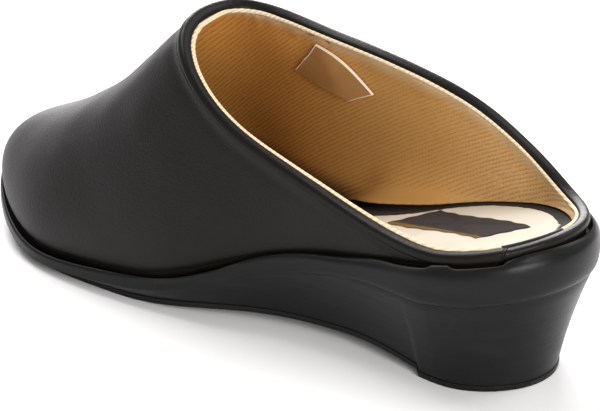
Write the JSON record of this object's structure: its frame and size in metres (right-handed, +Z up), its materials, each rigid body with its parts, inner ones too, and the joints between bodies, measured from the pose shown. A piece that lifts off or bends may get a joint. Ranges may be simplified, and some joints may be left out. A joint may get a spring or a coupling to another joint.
{
  "type": "wedge mule shoe",
  "caption": "Closed-toe slip-on mule with an open back, a moulded wedge sole, a padded topline and a knitted lining.",
  "frame": {"origin": "on the floor under the middle of the shoe's box", "axes": "-Y towards the toe, +X towards the shoe's left (outer) side, +Z up"},
  "size_m": [0.0952, 0.251, 0.0962],
  "materials": {
    "sole": "matte moulded",
    "upper": "smooth matte",
    "binding": "smooth matte",
    "footbed": "matte",
    "sock": "soft",
    "patch": "woven",
    "tab": "smooth"
  },
  "bodies": {
    "root": {"unit_sole": "sole", "upper": "upper", "topline_roll": "binding", "footbed": "footbed", "sock_lining": "sock", "sock_patch": "patch", "lining_tab": "tab"}
  },
  "joints": []
}
